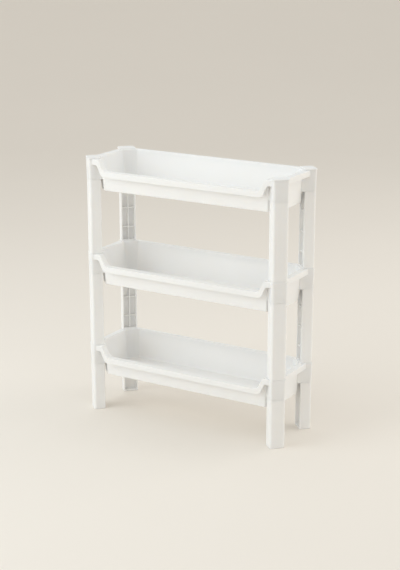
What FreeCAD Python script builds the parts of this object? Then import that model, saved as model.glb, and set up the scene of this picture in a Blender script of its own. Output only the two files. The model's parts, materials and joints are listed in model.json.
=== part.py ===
import FreeCAD, Part
import math
import os
import types

import Sketcher
from FreeCAD import Placement, Rotation, Vector

# Slim three-tier rack of moulded plastic trays, stacked on push-fit corner posts.
# Millimetres. X runs along the rack's length, the low front edges face -Y, and Z is up.
# The origin is on the floor, under the middle of the rack.

# Driving sizes: name, value, meaning
SIZES = [
    ("post_span_x", 386.0, "post centre to post centre, along the length"),
    ("post_span_y", 110.0, "post centre to post centre, front to back"),
    ("post_width", 29.0, "post section, across the corner"),
    ("post_depth", 22.0, "post section, from its inner side to its outer face"),
    ("post_round", 5.0, "rounding of a post's outer upright edges"),
    ("edge_round", 1.0, "rounding of the upright edges of a post's inner side"),
    ("post_wall", 2.5, "walls of a tenon, and frame and back of the recess in a post's inner side"),
    ("recess_depth", 9.0, "depth of the recess in a post's inner side"),
    ("post_height", 141.5, "post between its two shoulders"),
    ("leg_height", 91.5, "leg from the floor to its shoulder"),
    ("rib_pitch", 38.0, "spacing of the cross ribs in a post, from its upper end down"),
    ("rib_thickness", 1.8, "thickness of every rib in a post"),
    ("rib_setback", 3.0, "ribs stop this far inside the post's inner side"),
    ("collar_height", 38.0, "corner collar of a tray"),
    ("collar_wall", 2.2, "wall of a collar round its socket, at its lower end"),
    ("collar_flare", 0.8, "how far a collar's top stands out past its lower end"),
    ("stop_web", 3.0, "web across the middle of a collar, between its two sockets"),
    ("fit_gap", 0.25, "play between a tenon and each wall of its socket"),
    ("tenon_gap", 0.5, "play between a tenon's end and the stop web"),
    ("cap_plate", 2.0, "top plate of a corner cap"),
    ("cap_overhang", 0.4, "how far a cap's plate stands out past its collar"),
    ("corner_gap", 0.5, "gap between a tray's cut corner and a post's inner side"),
    ("end_offset", 0.5, "end wall at the rim, inside the post centres"),
    ("side_offset", 4.8, "front and back walls at the rim, outside the post centres"),
    ("tray_height", 60.0, "tray from its underside to its rim"),
    ("tray_wall", 2.0, "wall of a tray"),
    ("tray_floor", 2.4, "floor of a tray"),
    ("tray_lean", 4.8, "how far a wall leans in, from the rim to the underside"),
    ("tray_round", 5.0, "rounding of a tray's upright corners"),
    ("base_round", 3.0, "rounding round a tray's underside"),
    ("lip_reach", 10.0, "how far the rim stands out past the wall, in front and at the ends"),
    ("back_reach", 5.0, "how far the rim stands out past the back wall"),
    ("lip_thickness", 2.0, "flat top of the rim"),
    ("skirt_height", 10.5, "rim from its top to its hanging edge"),
    ("skirt_wall", 1.8, "hanging edge of the rim"),
    ("skirt_lead", 4.0, "how far the hanging edge's sweep lies outside the rim's own"),
    ("scoop_depth", 21.5, "how far the front rim dips"),
    ("scoop_inset", 31.5, "ends of the dip, inside the post centres"),
    ("scoop_slope", 64.0, "steepness of the dip's ends, in degrees"),
    ("scoop_foot_round", 11.0, "rounding at the foot of each slope"),
    ("scoop_head_round", 4.0, "rounding at the head of each slope"),
    ("overrun", 4.0, "how far a cutting shape runs past what it cuts"),
]

# Corner names, with the signs of X and Y and the turn that points a post outwards
CORNERS = [
    ("front_left", -1, -1, 225.0),
    ("front_right", 1, -1, 315.0),
    ("back_left", -1, 1, 135.0),
    ("back_right", 1, 1, 45.0),
]

UPWARDS = Vector(0, 0, 1)
FORWARDS = Vector(0, -1, 0)


class Size:
    """A value together with the sheet expression that gives it."""

    def __init__(self, value, text):
        self.value = value
        self.text = text

    def __add__(self, other):
        other = as_size(other)
        return Size(self.value + other.value, f"({self.text} + {other.text})")

    def __sub__(self, other):
        other = as_size(other)
        return Size(self.value - other.value, f"({self.text} - {other.text})")

    def __mul__(self, other):
        other = as_size(other)
        return Size(self.value * other.value, f"({self.text} * {other.text})")

    def __truediv__(self, other):
        other = as_size(other)
        return Size(self.value / other.value, f"({self.text} / {other.text})")

    def __neg__(self):
        return Size(-self.value, f"(-{self.text})")


def as_size(number):
    """A plain number as a Size, and a Size as it is."""
    return number if isinstance(number, Size) else Size(number, repr(number))


def sine(angle):
    return Size(math.sin(math.radians(angle.value)), f"sin({angle.text})")


def cosine(angle):
    return Size(math.cos(math.radians(angle.value)), f"cos({angle.text})")


def half_tangent(angle):
    return Size(math.tan(math.radians(angle.value / 2)), f"tan({angle.text} / 2)")


def root(number):
    return Size(math.sqrt(number), f"sqrt({number})")


sizes = types.SimpleNamespace(**{name: Size(value, f"sizes.{name}") for name, value, _ in SIZES})

# Places worked out from the driving sizes. A tray's heights count from the foot of its collars.
zero = as_size(0.0)
post_x = sizes.post_span_x / 2
post_y = sizes.post_span_y / 2
half_depth = sizes.post_depth / 2
half_width = sizes.post_width / 2
tenon_deep = half_depth - sizes.collar_wall - sizes.fit_gap
tenon_wide = half_width - sizes.collar_wall - sizes.fit_gap
bore_deep = tenon_deep - sizes.post_wall
bore_wide = tenon_wide - sizes.post_wall
recess_back = sizes.recess_depth - half_depth
socket_round = sizes.post_round - sizes.collar_wall
corner_face = (post_x + post_y) / root(2) - half_depth - sizes.corner_gap
socket_depth = (sizes.collar_height - sizes.stop_web) / 2
tenon_length = socket_depth - sizes.tenon_gap
tier_pitch = sizes.collar_height + sizes.post_height
wall_x = post_x - sizes.end_offset
wall_y = post_y + sizes.side_offset
rim_x = wall_x + sizes.lip_reach
rim_front = wall_y + sizes.lip_reach
rim_back = wall_y + sizes.back_reach
rim_corner = corner_face + sizes.post_depth
rim_top = sizes.collar_height
tray_base = rim_top - sizes.tray_height
front_rim = rim_top - sizes.scoop_depth
post_rounds = [sizes.post_round, sizes.post_round, sizes.edge_round, sizes.edge_round]
past_x = rim_x + sizes.overrun
past_y = rim_front + sizes.overrun
past_top = rim_top + sizes.overrun
past_skirt = front_rim - sizes.skirt_height - sizes.overrun


def bind(target, path, size):
    """Let the sheet drive one property of a document object."""
    target.setExpression(path, size.text)


def box_sides(x_low, x_high, y_low, y_high):
    """The sides of an upright rectangle, counter-clockwise from its lowest side.

    A side is its direction in degrees and its distance to the right of the origin, seen along it.
    """
    return [(0.0, -y_low), (90.0, x_high), (180.0, y_high), (270.0, -x_low)]


def eight_sides(x_half, front, back, corner):
    """The sides of a rectangle with its corners cut off at 45 degrees."""
    return [
        (0.0, front), (45.0, corner), (90.0, x_half), (135.0, corner),
        (180.0, back), (225.0, corner), (270.0, x_half), (315.0, corner),
    ]


def side_line(side):
    """Direction, right-hand normal and distance of a side, as numbers."""
    angle = math.radians(as_size(side[0]).value)
    direction = Vector(math.cos(angle), math.sin(angle), 0)
    normal = Vector(math.sin(angle), -math.cos(angle), 0)
    return direction, normal, as_size(side[1]).value


def meeting_point(first, second):
    """Where two sides cross."""
    _, normal_a, distance_a = side_line(first)
    _, normal_b, distance_b = side_line(second)
    cross = normal_a.x * normal_b.y - normal_a.y * normal_b.x
    return Vector(
        (distance_a * normal_b.y - distance_b * normal_a.y) / cross,
        (normal_a.x * distance_b - normal_b.x * distance_a) / cross,
        0,
    )


def name_size(sketch, constraint, size):
    """Add a dimension to a sketch and let the sheet drive it."""
    index = sketch.addConstraint(constraint)
    name = f"size_{index}"
    sketch.renameConstraint(index, name)
    bind(sketch, f"Constraints.{name}", size)


def place_side(sketch, line, side):
    """Fix a line's direction and its distance from the origin."""
    turn, distance = as_size(side[0]), as_size(side[1])
    upright = turn.value in (90.0, 270.0)
    if upright or turn.value in (0.0, 180.0):
        sketch.addConstraint(Sketcher.Constraint("Vertical" if upright else "Horizontal", line))
        kind = "DistanceX" if upright else "DistanceY"
        place = distance if turn.value in (90.0, 180.0) else -distance
        if place.value >= 0:
            name_size(sketch, Sketcher.Constraint(kind, -1, 1, line, 1, place.value), place)
        else:
            name_size(sketch, Sketcher.Constraint(kind, line, 1, -1, 1, -place.value), -place)
        return
    angle = turn if turn.value <= 180.0 else turn - 360.0
    name_size(sketch, Sketcher.Constraint("Angle", line, math.radians(angle.value)), angle)
    name_size(sketch, Sketcher.Constraint("Distance", -1, 1, line, distance.value), distance)


def draw_outline(sketch, sides, rounds):
    """Draw a closed outline in a sketch; rounds gives each corner's radius, or None if it is sharp.

    Corner number n lies between side n and the side after it.
    """
    count = len(sides)
    starts, ends, arcs = [None] * count, [None] * count, [None] * count
    for index in range(count):
        after = (index + 1) % count
        point = meeting_point(sides[index], sides[after])
        if rounds[index] is None:
            ends[index], starts[after] = point, point
            continue
        along, right, _ = side_line(sides[index])
        onward, _, _ = side_line(sides[after])
        radius = rounds[index].value
        turn = math.atan2(along.x * onward.y - along.y * onward.x, along.dot(onward))
        reach = radius * math.tan(abs(turn) / 2)
        ends[index], starts[after] = point - along * reach, point + onward * reach
        centre = ends[index] + right * (-radius if turn > 0 else radius)
        first, last = (ends[index], starts[after]) if turn > 0 else (starts[after], ends[index])
        from_angle = math.atan2(first.y - centre.y, first.x - centre.x)
        to_angle = math.atan2(last.y - centre.y, last.x - centre.x)
        circle = Part.Circle(centre, UPWARDS, radius)
        arcs[index] = (Part.ArcOfCircle(circle, from_angle, to_angle), turn > 0)
    lines = [
        sketch.addGeometry(Part.LineSegment(starts[index], ends[index]), False)
        for index in range(count)
    ]
    for index in range(count):
        after = lines[(index + 1) % count]
        if arcs[index] is None:
            sketch.addConstraint(Sketcher.Constraint("Coincident", lines[index], 2, after, 1))
            continue
        shape, leftward = arcs[index]
        arc = sketch.addGeometry(shape, False)
        near, far = (1, 2) if leftward else (2, 1)
        sketch.addConstraint(Sketcher.Constraint("Tangent", lines[index], 2, arc, near))
        sketch.addConstraint(Sketcher.Constraint("Tangent", arc, far, after, 1))
        name_size(sketch, Sketcher.Constraint("Radius", arc, rounds[index].value), rounds[index])
    for index, side in enumerate(sides):
        place_side(sketch, lines[index], side)


def origin_feature(body, role):
    """One of a body's own planes or axes."""
    return next(item for item in body.Origin.OriginFeatures if item.Role == role)


def body_sketch(body, name, height):
    """A level sketch in a body, at a height above the body's foot."""
    sketch = body.newObject("Sketcher::SketchObject", name)
    sketch.AttachmentSupport = [(origin_feature(body, "XY_Plane"), "")]
    sketch.MapMode = "FlatFace"
    bind(sketch, "AttachmentOffset.Base.z", height)
    return sketch


def add_feature(body, kind, sketch, length, backwards=False):
    """A Pad or a Pocket of a sketch; backwards turns it round."""
    feature = body.newObject(f"PartDesign::{kind}", f"{sketch.Name}_{kind.lower()}")
    feature.Profile = sketch
    bind(feature, "Length", length)
    feature.Reversed = backwards
    return feature


def corner_body(doc, label, corner, height):
    """A body that stands at one corner, turned so that its X axis points outwards."""
    _, sign_x, sign_y, turn = corner
    body = doc.addObject("PartDesign::Body", label)
    body.Label = label
    body.Placement = Placement(Vector(), Rotation(UPWARDS, turn))
    bind(body, "Placement.Base.x", post_x * sign_x)
    bind(body, "Placement.Base.y", post_y * sign_y)
    bind(body, "Placement.Base.z", height)
    return body


def add_tenon(body, name, height, downwards):
    """The hollow square end that pushes into a collar's socket."""
    sketch = body_sketch(body, name, height)
    draw_outline(sketch, box_sides(-tenon_deep, tenon_deep, -tenon_wide, tenon_wide), [socket_round] * 4)
    draw_outline(sketch, box_sides(-bore_deep, bore_deep, -bore_wide, bore_wide), [None] * 4)
    add_feature(body, "Pad", sketch, tenon_length, downwards)


def add_ribs(doc, body, height):
    """A spine up the middle of a post's recess, and cross ribs at an even pitch."""
    rib_front = sizes.rib_setback - half_depth
    rib_back = recess_back + sizes.post_wall / 2
    rib_half = sizes.rib_thickness / 2
    spine = body_sketch(body, "spine", sizes.post_wall / 2)
    draw_outline(spine, box_sides(rib_front, rib_back, -rib_half, rib_half), [None] * 4)
    add_feature(body, "Pad", spine, height - sizes.post_wall)

    rib_count = math.floor(height.value / sizes.rib_pitch.value)
    cross_wide = half_width - sizes.post_wall / 2
    lowest_rib = height - sizes.rib_pitch * rib_count - rib_half
    cross = body_sketch(body, "cross_rib", lowest_rib)
    draw_outline(cross, box_sides(rib_front, rib_back, -cross_wide, cross_wide), [None] * 4)
    cross_rib = add_feature(body, "Pad", cross, sizes.rib_thickness)
    doc.recompute()
    ribs = body.newObject("PartDesign::LinearPattern", "cross_ribs")
    ribs.Originals = [cross_rib]
    ribs.Direction = (origin_feature(body, "Z_Axis"), [""])
    ribs.Occurrences = rib_count
    bind(ribs, "Length", sizes.rib_pitch * (rib_count - 1))
    body.Tip = ribs


def make_post(doc, label, corner, seat, height, stands_in_collar):
    """A hollow post with tenons, and a ribbed recess in the side towards the rack's middle.

    A leg has no ribs and no lower tenon, and is closed at its foot.
    """
    body = corner_body(doc, label, corner, seat)
    shaft = body_sketch(body, "shaft", zero)
    draw_outline(shaft, box_sides(-half_depth, half_depth, -half_width, half_width), post_rounds)
    add_feature(body, "Pad", shaft, height)

    recess = body_sketch(body, "recess", sizes.post_wall)
    recess_wide = half_width - sizes.post_wall
    past_side = -half_depth - sizes.overrun
    draw_outline(recess, box_sides(past_side, recess_back, -recess_wide, recess_wide), [None] * 4)
    add_feature(body, "Pocket", recess, height - sizes.post_wall * 2, backwards=True)

    foot = zero if stands_in_collar else sizes.post_wall
    bore = body_sketch(body, "bore", foot)
    bore_front = recess_back + sizes.post_wall
    draw_outline(bore, box_sides(bore_front, bore_deep, -bore_wide, bore_wide), [None] * 4)
    add_feature(body, "Pocket", bore, height - foot, backwards=True)

    if stands_in_collar:
        add_ribs(doc, body, height)
        add_tenon(body, "lower_tenon", zero, downwards=True)
    add_tenon(body, "upper_tenon", height, downwards=False)
    return body


def make_cap(doc, label, corner, seat):
    """A flat plug that closes the top of a collar."""
    body = corner_body(doc, label, corner, seat)
    plate = body_sketch(body, "plate", zero)
    stand_out = sizes.collar_flare + sizes.cap_overhang
    wide = half_width + stand_out
    draw_outline(plate, box_sides(-half_depth, half_depth + stand_out, -wide, wide), post_rounds)
    add_feature(body, "Pad", plate, sizes.cap_plate)
    add_tenon(body, "plug", zero, downwards=True)
    return body


def level_sketch(doc, name, height, sides, rounds):
    """A level outline at a height above the foot of the tray's collars."""
    sketch = doc.addObject("Sketcher::SketchObject", name)
    bind(sketch, "Placement.Base.z", height)
    draw_outline(sketch, sides, rounds)
    return sketch


def corner_sketch(doc, name, height, sides, rounds):
    """A level outline at the back right post, with its X axis pointing outwards."""
    sketch = level_sketch(doc, name, height, sides, rounds)
    sketch.Placement = Placement(Vector(), Rotation(UPWARDS, 45))
    bind(sketch, "Placement.Base.x", post_x)
    bind(sketch, "Placement.Base.y", post_y)
    return sketch


def extrude(doc, name, sketch, direction, length):
    solid = doc.addObject("Part::Extrusion", name)
    solid.Base = sketch
    solid.DirMode = "Custom"
    solid.Dir = direction
    solid.Solid = True
    bind(solid, "LengthFwd", length)
    return solid


def loft(doc, name, lower, upper):
    solid = doc.addObject("Part::Loft", name)
    solid.Sections = [lower, upper]
    solid.Solid = True
    solid.Ruled = True
    return solid


def combine(doc, kind, name, base, tool):
    """Part::Cut or Part::Common of two solids."""
    result = doc.addObject(f"Part::{kind}", name)
    result.Base = base
    result.Tool = tool
    result.Refine = True
    return result


def fuse(doc, name, solids):
    result = doc.addObject("Part::MultiFuse", name)
    result.Shapes = solids
    result.Refine = True
    return result


def at_four_corners(doc, name, solid):
    """A solid at the back right corner, and its mirror images at the other three."""
    across = doc.addObject("Part::Mirroring", f"{name}_left")
    across.Source = solid
    across.Normal = Vector(1, 0, 0)
    back = fuse(doc, f"{name}_back", [solid, across])
    front = doc.addObject("Part::Mirroring", f"{name}_front")
    front.Source = back
    front.Normal = Vector(0, 1, 0)
    return fuse(doc, f"{name}_all", [back, front])


def round_base(doc, name, solid, height):
    """Round the edges that lie in a tray's underside."""
    doc.recompute()
    rounded = doc.addObject("Part::Fillet", name)
    rounded.Base = solid
    radius = sizes.base_round.value
    rounded.Edges = [
        (number, radius, radius)
        for number, edge in enumerate(solid.Shape.Edges, start=1)
        if all(abs(vertex.Point.z - height.value) < 0.001 for vertex in edge.Vertexes)
    ]
    return rounded


def above_rim(doc, name, drop, lead):
    """Everything above a line that follows the rim, lowered by drop and swept outwards by lead."""
    low = front_rim - drop
    high = rim_top - drop
    foot_x = post_x - sizes.scoop_inset + lead
    slope_place = foot_x * sine(sizes.scoop_slope) - low * cosine(sizes.scoop_slope)
    sides = [
        (0.0, -low), (sizes.scoop_slope, slope_place), (0.0, -high), (90.0, past_x),
        (180.0, past_top), (270.0, past_x), (0.0, -high), (-sizes.scoop_slope, slope_place),
    ]
    foot, head = sizes.scoop_foot_round, sizes.scoop_head_round
    sketch = doc.addObject("Sketcher::SketchObject", f"{name}_line")
    sketch.Placement = Placement(Vector(), Rotation(Vector(1, 0, 0), 90))
    draw_outline(sketch, sides, [foot, head, None, None, None, None, head, foot])
    front = extrude(doc, f"{name}_front", sketch, FORWARDS, past_y)
    return front, high


def above_whole_rim(doc, name, drop, lead):
    """The same, with the level stretch behind the middle of the tray."""
    front, high = above_rim(doc, name, drop, lead)
    back = doc.addObject("Part::Box", f"{name}_back")
    bind(back, "Length", past_x * 2)
    bind(back, "Width", past_y)
    bind(back, "Height", past_top - high)
    bind(back, "Placement.Base.x", -past_x)
    bind(back, "Placement.Base.z", high)
    return fuse(doc, f"{name}_space", [front, back])


def make_rim(doc):
    """The rim: a flat lip with a hanging skirt, open underneath, that dips along the front.

    Its cut corners end inside the collars' outer walls.
    """
    sharp = [None] * 8
    outer_sides = eight_sides(rim_x, rim_front, rim_back, rim_corner)
    outer = level_sketch(doc, "rim_outline", past_skirt, outer_sides, sharp)
    block = extrude(doc, "rim_block", outer, UPWARDS, rim_top - past_skirt)
    skirt_line = above_whole_rim(doc, "skirt_edge", sizes.skirt_height, sizes.skirt_lead)
    band = combine(doc, "Common", "rim_band", block, skirt_line)

    wall = sizes.skirt_wall
    inner_sides = eight_sides(rim_x - wall, rim_front - wall, rim_back - wall, rim_corner - wall)
    inner = level_sketch(doc, "skirt_inside", past_skirt - sizes.overrun, inner_sides, sharp)
    inside = extrude(doc, "skirt_inside_block", inner, UPWARDS, rim_top - past_skirt + sizes.overrun)
    lip_lead = sizes.lip_thickness * half_tangent(sizes.scoop_slope)
    lip_line = above_whole_rim(doc, "lip_underside", sizes.lip_thickness, lip_lead)
    hollow = combine(doc, "Cut", "skirt_hollow", inside, lip_line)
    return combine(doc, "Cut", "rim", band, hollow)


def tub_loft(doc, name, inset, foot):
    """The tray's leaning walls as one block, drawn in by inset, from a height up to the rim."""
    round_off = [sizes.tray_round] * 8
    low_x = wall_x - sizes.tray_lean - inset
    low_y = wall_y - sizes.tray_lean - inset
    low_sides = eight_sides(low_x, low_y, low_y, corner_face - sizes.tray_lean - inset)
    high_y = wall_y - inset
    high_sides = eight_sides(wall_x - inset, high_y, high_y, corner_face - inset)
    lower = level_sketch(doc, f"{name}_foot", foot, low_sides, round_off)
    upper = level_sketch(doc, f"{name}_mouth", rim_top, high_sides, round_off)
    return round_base(doc, name, loft(doc, f"{name}_block", lower, upper), foot)


def make_collars(doc):
    """The four collars that hold the posts, still solid, joined to the tray's cut corners."""
    inward = -half_depth - sizes.corner_gap - sizes.tray_lean - sizes.tray_wall / 2
    rounds = [sizes.post_round, sizes.post_round, None, None]
    foot_sides = box_sides(inward, half_depth, -half_width, half_width)
    wide = half_width + sizes.collar_flare
    head_sides = box_sides(inward, half_depth + sizes.collar_flare, -wide, wide)
    foot = corner_sketch(doc, "collar_foot", zero, foot_sides, rounds)
    head = corner_sketch(doc, "collar_head", sizes.collar_height, head_sides, rounds)
    return at_four_corners(doc, "collar", loft(doc, "collar", foot, head))


def make_sockets(doc):
    """The room for the tenons: a socket at each end of every collar."""
    deep = half_depth - sizes.collar_wall
    wide = half_width - sizes.collar_wall
    sides = box_sides(-deep, deep, -wide, wide)
    rounds = [socket_round] * 4
    low = corner_sketch(doc, "lower_socket", -sizes.overrun, sides, rounds)
    lower = extrude(doc, "lower_socket_space", low, UPWARDS, socket_depth + sizes.overrun)
    high = corner_sketch(doc, "upper_socket", sizes.collar_height - socket_depth, sides, rounds)
    upper = extrude(doc, "upper_socket_space", high, UPWARDS, socket_depth + sizes.overrun)
    return at_four_corners(doc, "socket", fuse(doc, "socket_pair", [lower, upper]))


def make_trays(doc, seats):
    """Like trays at their heights: leaning walls, a skirted rim that dips in front, and collars."""
    tub = tub_loft(doc, "tub", zero, tray_base)
    whole = fuse(doc, "tray_block", [make_rim(doc), tub, make_collars(doc)])
    dip, _ = above_rim(doc, "front_dip", zero, zero)
    dipped = combine(doc, "Cut", "dipped_block", whole, dip)
    inside = tub_loft(doc, "tray_inside", sizes.tray_wall, tray_base + sizes.tray_floor)
    hollow = combine(doc, "Cut", "hollow_block", dipped, inside)
    sockets = make_sockets(doc)
    trays = []
    for label, seat in seats:
        tray = combine(doc, "Cut", label, hollow, sockets)
        tray.Label = label
        bind(tray, "Placement.Base.z", seat)
        trays.append(tray)
    return trays


def make_rack(doc):
    """Every piece of the rack, from the floor up."""
    collar_feet = [sizes.leg_height + tier_pitch * tier for tier in range(3)]
    pieces = make_trays(doc, zip(["tray_bottom", "tray_middle", "tray_top"], collar_feet))
    for corner in CORNERS:
        pieces.append(make_post(doc, f"leg_{corner[0]}", corner, zero, sizes.leg_height, False))
        for name, foot in zip(["post_lower", "post_upper"], collar_feet):
            seat = foot + sizes.collar_height
            pieces.append(make_post(doc, f"{name}_{corner[0]}", corner, seat, sizes.post_height, True))
        pieces.append(make_cap(doc, f"cap_{corner[0]}", corner, collar_feet[2] + sizes.collar_height))
    return pieces


def make_sheet(doc):
    sheet = doc.addObject("Spreadsheet::Sheet", "sizes")
    for row, (name, value, meaning) in enumerate(SIZES, start=1):
        sheet.set(f"A{row}", meaning)
        sheet.set(f"B{row}", str(value))
        sheet.setAlias(f"B{row}", name)
    doc.recompute()


def check(doc, pieces):
    """Stop if any feature failed, or a piece isn't one sound solid."""
    failed = [item.Label for item in doc.Objects if {"Invalid", "Error"} & set(item.State)]
    if failed:
        raise RuntimeError(f"features failed: {failed}")
    for piece in pieces:
        shape = piece.Shape
        if shape.isNull() or not shape.isValid() or len(shape.Solids) != 1:
            raise RuntimeError(f"{piece.Label} isn't one sound solid")


def main():
    doc = FreeCAD.newDocument("rack")
    make_sheet(doc)
    pieces = make_rack(doc)
    doc.recompute()
    check(doc, pieces)
    os.makedirs("parts", exist_ok=True)
    for piece in pieces:
        piece.Shape.exportStep(f"parts/{piece.Label}.step")
        print(piece.Label, "volume", round(piece.Shape.Volume / 1000, 2), "cm3")


main()
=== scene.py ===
import json
import math

import bmesh
import bpy
from bpy.props import FloatProperty, FloatVectorProperty, IntProperty, PointerProperty
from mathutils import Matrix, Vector


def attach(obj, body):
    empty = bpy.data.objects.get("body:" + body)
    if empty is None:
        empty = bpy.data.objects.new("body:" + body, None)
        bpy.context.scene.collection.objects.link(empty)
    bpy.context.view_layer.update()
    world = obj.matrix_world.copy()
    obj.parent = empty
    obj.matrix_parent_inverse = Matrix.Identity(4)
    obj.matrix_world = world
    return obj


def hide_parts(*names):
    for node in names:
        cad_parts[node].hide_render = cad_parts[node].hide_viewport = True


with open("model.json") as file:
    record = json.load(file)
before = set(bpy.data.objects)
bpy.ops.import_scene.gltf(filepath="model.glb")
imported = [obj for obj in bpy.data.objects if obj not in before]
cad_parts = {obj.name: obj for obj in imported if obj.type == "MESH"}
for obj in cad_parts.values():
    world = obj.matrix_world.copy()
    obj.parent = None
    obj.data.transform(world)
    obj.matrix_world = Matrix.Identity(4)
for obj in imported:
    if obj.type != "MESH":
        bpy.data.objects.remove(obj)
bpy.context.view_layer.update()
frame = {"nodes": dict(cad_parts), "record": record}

bl_info = {
    "name": "Slim Tray Rack",
    "version": (1, 0, 0),
    "blender": (4, 5, 0),
    "location": "View3D > Sidebar > Tray Rack",
    "description": "Finishes a slim three-tier rack of moulded plastic trays and sets it on a plain stage",
    "category": "Object",
}

CORNERS = ("front_left", "front_right", "back_left", "back_right")
TIERS = ("bottom", "middle", "top")

# Points this close are one point, faces this level are one face, and a fold past this is a sharp edge
MERGE_DISTANCE = 1e-6
FLAT_ANGLE = math.radians(0.5)
SHARP_ANGLE = math.radians(35)

# A face smaller than this is a sliver along a curve, and its edges are no true edges of the moulding
SLIVER_AREA = 2e-7

# How much the larger faces decide the shading, so that flat sides stay even up to their rounded edges
FACE_WEIGHT = 100

# How far red, green and blue light travel inside the plastic, against its glow depth
GLOW_REACH = (1.0, 0.92, 0.82)

# The plastic's gloss
PLASTIC_IOR = 1.49
PLASTIC_SPECULAR = 0.45

# Noise levels between which mellowed patches and scuffed spots set in, and how strongly they then show;
# the scuffed spots along the edges are painted lighter, partly wear and partly a painted highlight
PATCH_LEVELS = (0.45, 0.75)
PATCH_SHARE = 0.5
SCUFF_HIGHLIGHT_LEVELS = (0.42, 0.62)
SCUFF_HIGHLIGHT_SHARE = 0.6

# How grain, patches and rubbing change the roughness, about the middle of the noise
NOISE_MIDDLE = 0.5
GRAIN_DULLING = 0.12
PATCH_DULLING = 0.06
RUBBED_POLISH = 0.12

# Heights of the grain and the ripples, in metres
GRAIN_HEIGHT = 0.000012
RIPPLE_HEIGHT = 0.00008

# The backdrop's paint: size of its faint clouds in metres, their shade against the paint, its roughness
CLOUD_SIZE = 0.6
CLOUD_SHADE = 0.97
BACKDROP_ROUGHNESS = 0.85

# Sides of the round floor, faces across its curve, and its distance below the feet
SWEEP_SIDES = 96
COVE_SEGMENTS = 12
FLOOR_GAP = 0.0002

# Where the lamps stand, in metres from the rack's middle
KEY_PLACE = (-1.25, -1.6, 0.8)
FILL_PLACE = (1.7, 1.5, 0.7)
TOP_PLACE = (0.0, -0.2, 2.0)

# Height of the picture inside the camera, in millimetres
PICTURE_HEIGHT = 36.0

# Numbers of the colour sockets on a Mix node
MIX_FACTOR, MIX_FIRST, MIX_SECOND, MIX_RESULT = 0, 6, 7, 2


class Value:
    """A shader socket that takes part in sums, so that shader maths reads as it is written."""

    def __init__(self, tree, socket):
        self.tree = tree
        self.socket = socket

    def join(self, operation, first, second):
        """A Math node's result for two sockets or numbers."""
        node = self.tree.nodes.new("ShaderNodeMath")
        node.operation = operation
        for socket, item in zip(node.inputs, (first, second)):
            if isinstance(item, Value):
                self.tree.links.new(item.socket, socket)
            else:
                socket.default_value = item
        return Value(self.tree, node.outputs[0])

    def __add__(self, other):
        return self.join("ADD", self, other)

    def __radd__(self, other):
        return self.join("ADD", other, self)

    def __sub__(self, other):
        return self.join("SUBTRACT", self, other)

    def __rsub__(self, other):
        return self.join("SUBTRACT", other, self)

    def __mul__(self, other):
        return self.join("MULTIPLY", self, other)

    def __rmul__(self, other):
        return self.join("MULTIPLY", other, self)


class Finish:
    """A material while its nodes are put together."""

    def __init__(self, name):
        self.material = bpy.data.materials.new(name)
        self.material.use_nodes = True
        self.tree = self.material.node_tree
        self.tree.nodes.clear()

    def node(self, kind, settings, sockets, output=0):
        """Add a node, make its settings, fill or link its sockets, and give one of its outputs."""
        node = self.tree.nodes.new(kind)
        for name, setting in settings.items():
            setattr(node, name, setting)
        for name, value in sockets.items():
            if isinstance(value, Value):
                self.tree.links.new(value.socket, node.inputs[name])
            else:
                node.inputs[name].default_value = value
        return Value(self.tree, node.outputs[output]) if node.outputs else None

    def noise(self, place, patch_size, detail):
        """Soft random patches of about patch_size metres, from 0 to 1."""
        sockets = {"Vector": place, "Scale": 1 / patch_size, "Detail": detail}
        return self.node("ShaderNodeTexNoise", {}, sockets)

    def stretch(self, value, levels):
        """0 below the lower level, 1 above the higher one, and an even slope between them."""
        low, high = levels
        sockets = {"Value": value, "From Min": low, "From Max": high}
        return self.node("ShaderNodeMapRange", {}, sockets)

    def mix(self, factor, first, second):
        """A colour between two others."""
        sockets = {MIX_FACTOR: factor, MIX_FIRST: first, MIX_SECOND: second}
        return self.node("ShaderNodeMix", {"data_type": "RGBA"}, sockets, MIX_RESULT)

    def surface(self, sockets):
        """The finished material, with these sockets of its shader filled or linked."""
        shader = self.node("ShaderNodeBsdfPrincipled", {}, sockets)
        self.node("ShaderNodeOutputMaterial", {}, {"Surface": shader})
        return self.material


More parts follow.
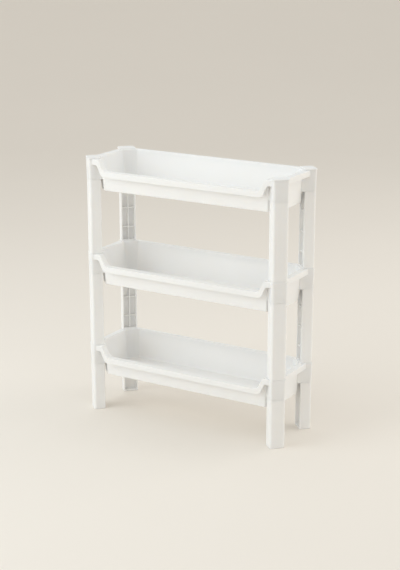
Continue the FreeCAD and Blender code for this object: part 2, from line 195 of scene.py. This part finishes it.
class RackFinish(bpy.types.PropertyGroup):
    """Colours and surface of the moulded plastic."""

    plastic_colour: FloatVectorProperty(
        name="Plastic", description="Colour of every moulding",
        default=(0.945, 0.945, 0.94), min=0, max=1, subtype="COLOR")
    aged_colour: FloatVectorProperty(
        name="Aged Plastic", description="Colour of faint patches where the plastic has mellowed",
        default=(0.925, 0.92, 0.90), min=0, max=1, subtype="COLOR")
    # Painted highlight: the rounded edges are painted lighter than the plastic, as a highlight as well as
    # wear
    rubbed_highlight_colour: FloatVectorProperty(
        name="Edge Highlight and Wear", description="Colour of edges that hands and goods have polished, painted lighter as a highlight",
        default=(0.975, 0.975, 0.97), min=0, max=1, subtype="COLOR")
    tray_roughness: FloatProperty(
        name="Tray Roughness", description="Roughness of the trays' satin surface",
        default=0.42, min=0, max=1, subtype="FACTOR")
    post_roughness: FloatProperty(
        name="Post Roughness", description="Roughness of the posts, legs and caps",
        default=0.48, min=0, max=1, subtype="FACTOR")
    tray_glow: FloatProperty(
        name="Tray Glow", description="Share of the light that scatters inside the trays' thin walls",
        default=0.4, min=0, max=1, subtype="FACTOR")
    post_glow: FloatProperty(
        name="Post Glow", description="Share of the light that scatters inside the posts, legs and caps",
        default=0.25, min=0, max=1, subtype="FACTOR")
    glow_depth: FloatProperty(
        name="Glow Depth", description="How far light travels inside the plastic",
        default=0.005, min=0.0005, max=0.02, unit="LENGTH", precision=4)
    grain_size: FloatProperty(
        name="Grain Size", description="Size of the fine grain that the mould leaves",
        default=0.0006, min=0.0001, max=0.005, unit="LENGTH", precision=5)
    ripple_size: FloatProperty(
        name="Ripple Size", description="Size of the shallow ripples where the plastic has shrunk",
        default=0.035, min=0.005, max=0.2, unit="LENGTH", precision=4)
    patch_size: FloatProperty(
        name="Patch Size", description="Size of the faint patches where the plastic has mellowed",
        default=0.09, min=0.01, max=0.5, unit="LENGTH", precision=4)
    # Size of the spots where the edges are painted lighter, as highlight and wear
    scuff_highlight_size: FloatProperty(
        name="Scuff Highlight Size", description="Size of the polished spots along the edges, painted lighter as a highlight",
        default=0.004, min=0.0005, max=0.05, unit="LENGTH", precision=4)
    edge_radius: FloatProperty(
        name="Edge Radius", description="Rounding of sharp edges, limited by narrow strips at the collars",
        default=0.0003, min=0.0001, max=0.0003, unit="LENGTH", precision=5)
    edge_segments: IntProperty(
        name="Edge Segments", description="Faces across each rounded edge",
        default=3, min=1, max=6)


class RackStage(bpy.types.PropertyGroup):
    """Floor, light and camera."""

    backdrop_colour: FloatVectorProperty(
        name="Backdrop", description="Colour of the floor and the slope round it",
        default=(0.91, 0.86, 0.795), min=0, max=1, subtype="COLOR")
    floor_radius: FloatProperty(
        name="Floor Radius", description="Radius of the level floor, up to where its slope would start",
        default=4.0, min=3, max=10, unit="LENGTH")
    slope_radius: FloatProperty(
        name="Slope Radius", description="Radius of the upper edge of the slope round the floor",
        default=8.0, min=4, max=20, unit="LENGTH")
    slope_height: FloatProperty(
        name="Slope Height", description="Height of the upper edge of the slope",
        default=2.5, min=0.5, max=6, unit="LENGTH")
    cove_reach: FloatProperty(
        name="Cove Reach", description="How far the curve between floor and slope reaches on either side",
        default=1.2, min=0.1, max=2, unit="LENGTH")
    sky_colour: FloatVectorProperty(
        name="Sky Colour", description="Colour of the even light from all sides",
        default=(1.0, 0.985, 0.94), min=0, max=1, subtype="COLOR")
    sky_strength: FloatProperty(
        name="Sky", description="Strength of the even light from all sides",
        default=0.68, min=0, max=2)
    key_colour: FloatVectorProperty(
        name="Key Colour", description="Colour of the soft lamps at the front left and overhead",
        default=(0.87, 0.95, 1.0), min=0, max=1, subtype="COLOR")
    key_power: FloatProperty(
        name="Key Light", description="Power of the soft lamp at the front left",
        default=18.0, min=0, max=200, unit="POWER")
    fill_colour: FloatVectorProperty(
        name="Fill Colour", description="Colour of the soft lamp beyond the right end",
        default=(1.0, 0.98, 0.95), min=0, max=1, subtype="COLOR")
    fill_power: FloatProperty(
        name="Fill Light", description="Power of the soft lamp beyond the right end",
        default=14.0, min=0, max=200, unit="POWER")
    top_power: FloatProperty(
        name="Top Light", description="Power of the soft lamp overhead",
        default=6.0, min=0, max=200, unit="POWER")
    lamp_size: FloatProperty(
        name="Lamp Size", description="Width of each soft lamp",
        default=1.8, min=0.1, max=4, unit="LENGTH")
    view_azimuth: FloatProperty(
        name="View Azimuth", description="Turn of the camera from the front towards the right",
        default=math.radians(30.692), subtype="ANGLE")
    view_elevation: FloatProperty(
        name="View Elevation", description="How far the camera looks down",
        default=math.radians(16.314), subtype="ANGLE")
    view_distance: FloatProperty(
        name="View Distance", description="From the camera to the point it looks at",
        default=2.5066, min=0.5, max=10, unit="LENGTH")
    view_height: FloatProperty(
        name="View Height", description="Height of the point that the camera looks at",
        default=0.25935, min=0, max=1, unit="LENGTH")
    view_sideways: FloatProperty(
        name="View Sideways", description="How far right of the rack's middle that point lies",
        default=0.0022, min=-0.5, max=0.5, unit="LENGTH", precision=4)
    lens: FloatProperty(
        name="Lens", description="Focal length in millimetres",
        default=85.61, min=20, max=300, unit="CAMERA")


def moulded_plastic(name, finish, roughness, glow):
    """White satin plastic: fine grain, shallow ripples, mellowed patches, and edges painted lighter,
    partly wear and partly a painted highlight.
    """
    paint = Finish(name)
    place = paint.node("ShaderNodeTexCoord", {}, {}, "Object")
    grain = paint.noise(place, finish.grain_size, detail=2.0)
    ripple = paint.noise(place, finish.ripple_size, detail=1.0)
    patches = paint.stretch(paint.noise(place, finish.patch_size, detail=3.0), PATCH_LEVELS)
    scuff_highlights = paint.stretch(paint.noise(place, finish.scuff_highlight_size, detail=4.0), SCUFF_HIGHLIGHT_LEVELS)
    edge = paint.node("ShaderNodeAttribute", {"attribute_name": "rounded_edge"}, {}, "Fac")
    # Painted highlight: spots along the rounded edges, lighter in colour and glossier, stand for polishing
    # wear and for the edges' highlight
    rubbed_highlight = edge * scuff_highlights
    plastic = (*finish.plastic_colour, 1.0)
    aged = (*finish.aged_colour, 1.0)
    worn_highlight = (*finish.rubbed_highlight_colour, 1.0)
    mellowed = paint.mix(patches * PATCH_SHARE, plastic, aged)
    # The lighter colour on those spots is a painted highlight as well as wear
    colour = paint.mix(rubbed_highlight * SCUFF_HIGHLIGHT_SHARE, mellowed, worn_highlight)
    dull = roughness + (grain - NOISE_MIDDLE) * GRAIN_DULLING
    dull = dull + (patches - NOISE_MIDDLE) * PATCH_DULLING - rubbed_highlight * RUBBED_POLISH
    height = grain * GRAIN_HEIGHT + ripple * RIPPLE_HEIGHT
    bump = paint.node("ShaderNodeBump", {}, {"Strength": 1.0, "Distance": 1.0, "Height": height})
    return paint.surface({
        "Base Color": colour,
        "Roughness": dull,
        "Normal": bump,
        "IOR": PLASTIC_IOR,
        "Specular IOR Level": PLASTIC_SPECULAR,
        "Subsurface Weight": glow,
        "Subsurface Scale": finish.glow_depth,
        "Subsurface Radius": GLOW_REACH,
    })


def plain_backdrop(colour):
    """Matt paint for the floor and its slope, with the least trace of unevenness."""
    paint = Finish("backdrop_paint")
    place = paint.node("ShaderNodeTexCoord", {}, {}, "Object")
    cloud = paint.noise(place, CLOUD_SIZE, detail=2.0)
    darker = tuple(channel * CLOUD_SHADE for channel in colour)
    tint = paint.mix(cloud, (*colour, 1.0), (*darker, 1.0))
    return paint.surface({"Base Color": tint, "Roughness": BACKDROP_ROUGHNESS})


def link_piece(name, shape, material):
    """Turn a finished bmesh into an object of its own."""
    mesh = bpy.data.meshes.new(name)
    shape.to_mesh(mesh)
    shape.free()
    mesh.materials.append(material)
    piece = bpy.data.objects.new(name, mesh)
    bpy.context.scene.collection.objects.link(piece)
    return piece


def body_of(node):
    """The rigid body that a node belongs to."""
    bodies = frame["record"]["behaviour"]["bodies"]
    return next(body for body, members in bodies.items() if node in members)


def is_sharp(edge):
    """Whether an edge is one of the moulding's own, with a clear fold between two real faces."""
    smallest = min(face.calc_area() for face in edge.link_faces)
    return edge.calc_face_angle(0) > SHARP_ANGLE and smallest > SLIVER_AREA


def finish_moulding(name, node, material, finish):
    """A moulding with its sharp edges rounded, standing for a CAD node."""
    shape = bmesh.new()
    shape.from_mesh(frame["nodes"][node].data)
    bmesh.ops.remove_doubles(shape, verts=shape.verts, dist=MERGE_DISTANCE)
    bmesh.ops.dissolve_limit(shape, angle_limit=FLAT_ANGLE, verts=shape.verts, edges=shape.edges)
    rounded = shape.faces.layers.float.new("rounded_edge")
    sharp = [edge for edge in shape.edges if is_sharp(edge)]
    if not sharp:
        raise RuntimeError(f"{node} has no sharp edge to round")
    result = bmesh.ops.bevel(
        shape, geom=sharp, affect="EDGES", offset_type="OFFSET", offset=finish.edge_radius,
        segments=finish.edge_segments, profile=0.5, material=-1, clamp_overlap=False, loop_slide=True)
    for face in result["faces"]:
        face[rounded] = 1.0
    for face in shape.faces:
        face.smooth = True
    piece = link_piece(name, shape, material)
    shading = piece.modifiers.new("even_shading", "WEIGHTED_NORMAL")
    shading.weight = FACE_WEIGHT
    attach(piece, body_of(node))
    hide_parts(node)
    return piece


class RACK_OT_trays(bpy.types.Operator):
    """Finish the three trays"""

    bl_idname = "rack.trays"
    bl_label = "Finish Trays"

    def execute(self, context):
        finish = context.scene.rack_finish
        plastic = moulded_plastic("tray_plastic_white", finish, finish.tray_roughness, finish.tray_glow)
        for tier in TIERS:
            finish_moulding(f"{tier}_tray", f"tray_{tier}", plastic, finish)
        return {"FINISHED"}


class RACK_OT_posts(bpy.types.Operator):
    """Finish the legs and the posts of both tiers"""

    bl_idname = "rack.posts"
    bl_label = "Finish Legs and Posts"

    def execute(self, context):
        finish = context.scene.rack_finish
        plastic = moulded_plastic("post_plastic_white", finish, finish.post_roughness, finish.post_glow)
        for kind in ("leg", "post_lower", "post_upper"):
            for corner in CORNERS:
                finish_moulding(f"{corner}_{kind}", f"{kind}_{corner}", plastic, finish)
        return {"FINISHED"}


class RACK_OT_caps(bpy.types.Operator):
    """Finish the four corner caps"""

    bl_idname = "rack.caps"
    bl_label = "Finish Caps"

    def execute(self, context):
        finish = context.scene.rack_finish
        plastic = moulded_plastic("cap_plastic_white", finish, finish.post_roughness, finish.post_glow)
        for corner in CORNERS:
            finish_moulding(f"{corner}_cap", f"cap_{corner}", plastic, finish)
        return {"FINISHED"}


def make_sweep(stage):
    """A round floor that curves up into a gentle slope on every side. It lies a hair below the feet."""
    shape = bmesh.new()
    bmesh.ops.create_circle(shape, cap_ends=True, segments=SWEEP_SIDES, radius=stage.floor_radius)
    rim = list(shape.edges)
    slope = bmesh.ops.extrude_edge_only(shape, edges=rim)
    for item in slope["geom"]:
        if isinstance(item, bmesh.types.BMVert):
            item.co = item.co.normalized() * stage.slope_radius
            item.co.z = stage.slope_height
    bmesh.ops.translate(shape, verts=shape.verts, vec=(0, 0, -FLOOR_GAP))
    bmesh.ops.bevel(
        shape, geom=rim, affect="EDGES", offset_type="OFFSET", offset=stage.cove_reach,
        segments=COVE_SEGMENTS, profile=0.5, material=-1)
    bmesh.ops.recalc_face_normals(shape, faces=shape.faces)
    widest = max(shape.faces, key=lambda face: face.calc_area())
    if widest.normal.z < 0:
        bmesh.ops.reverse_faces(shape, faces=shape.faces)
    for face in shape.faces:
        face.smooth = True
    link_piece("sweep", shape, plain_backdrop(stage.backdrop_colour))


def aim(thing, place, target):
    """Put a lamp or camera in place and point it."""
    thing.location = place
    thing.rotation_euler = (target - place).to_track_quat("-Z", "Y").to_euler()
    bpy.context.scene.collection.objects.link(thing)


def soft_lamp(name, colour, power, place, stage):
    """A large square lamp that lights the rack's middle and stays out of the picture itself."""
    data = bpy.data.lights.new(name, "AREA")
    data.shape = "SQUARE"
    data.size = stage.lamp_size
    data.color = colour
    data.energy = power
    lamp = bpy.data.objects.new(name, data)
    lamp.visible_camera = False
    middle = Vector((0, 0, stage.view_height))
    aim(lamp, middle + Vector(place), middle)


def make_lights(stage):
    """An even sky, with soft lamps at the front left, beyond the right end and overhead."""
    world = bpy.data.worlds.new("even_sky")
    world.use_nodes = True
    background = world.node_tree.nodes["Background"]
    background.inputs["Color"].default_value = (*stage.sky_colour, 1.0)
    background.inputs["Strength"].default_value = stage.sky_strength
    bpy.context.scene.world = world
    soft_lamp("key", stage.key_colour, stage.key_power, KEY_PLACE, stage)
    soft_lamp("fill", stage.fill_colour, stage.fill_power, FILL_PLACE, stage)
    soft_lamp("top", stage.key_colour, stage.top_power, TOP_PLACE, stage)


def make_camera(stage):
    """A camera before the rack, turned towards its right end and looking down a little."""
    data = bpy.data.cameras.new("view")
    data.sensor_fit = "VERTICAL"
    data.sensor_height = PICTURE_HEIGHT
    data.lens = stage.lens
    turn, tilt = stage.view_azimuth, stage.view_elevation
    side = Vector((math.cos(turn), math.sin(turn), 0)) * stage.view_sideways
    target = Vector((0, 0, stage.view_height)) + side
    away = Vector((math.sin(turn) * math.cos(tilt), -math.cos(turn) * math.cos(tilt), math.sin(tilt)))
    camera = bpy.data.objects.new("view", data)
    aim(camera, target + away * stage.view_distance, target)
    bpy.context.scene.camera = camera


class RACK_OT_stage(bpy.types.Operator):
    """Set the floor, light and camera"""

    bl_idname = "rack.stage"
    bl_label = "Set the Stage"

    def execute(self, context):
        stage = context.scene.rack_stage
        make_sweep(stage)
        make_lights(stage)
        make_camera(stage)
        context.scene.view_settings.view_transform = "Standard"
        return {"FINISHED"}


class RACK_PT_panel(bpy.types.Panel):
    """The rack's sizes, colours and steps"""

    bl_idname = "RACK_PT_panel"
    bl_label = "Tray Rack"
    bl_space_type = "VIEW_3D"
    bl_region_type = "UI"
    bl_category = "Tray Rack"

    def draw(self, context):
        for group in (context.scene.rack_finish, context.scene.rack_stage):
            column = self.layout.column()
            for name in group.__annotations__:
                column.prop(group, name)
        for step in STEPS:
            self.layout.operator(step.bl_idname)


STEPS = (RACK_OT_trays, RACK_OT_posts, RACK_OT_caps, RACK_OT_stage)
CLASSES = (RackFinish, RackStage, *STEPS, RACK_PT_panel)


def register():
    """Make the settings, steps and panel known to Blender."""
    for kind in CLASSES:
        bpy.utils.register_class(kind)
    bpy.types.Scene.rack_finish = PointerProperty(type=RackFinish)
    bpy.types.Scene.rack_stage = PointerProperty(type=RackStage)


def unregister():
    """Take the settings, steps and panel away again."""
    del bpy.types.Scene.rack_stage
    del bpy.types.Scene.rack_finish
    for kind in reversed(CLASSES):
        bpy.utils.unregister_class(kind)


def main():
    """Finish the rack and set its stage."""
    register()
    bpy.ops.rack.trays()
    bpy.ops.rack.posts()
    bpy.ops.rack.caps()
    bpy.ops.rack.stage()


if __name__ == "__main__":
    main()
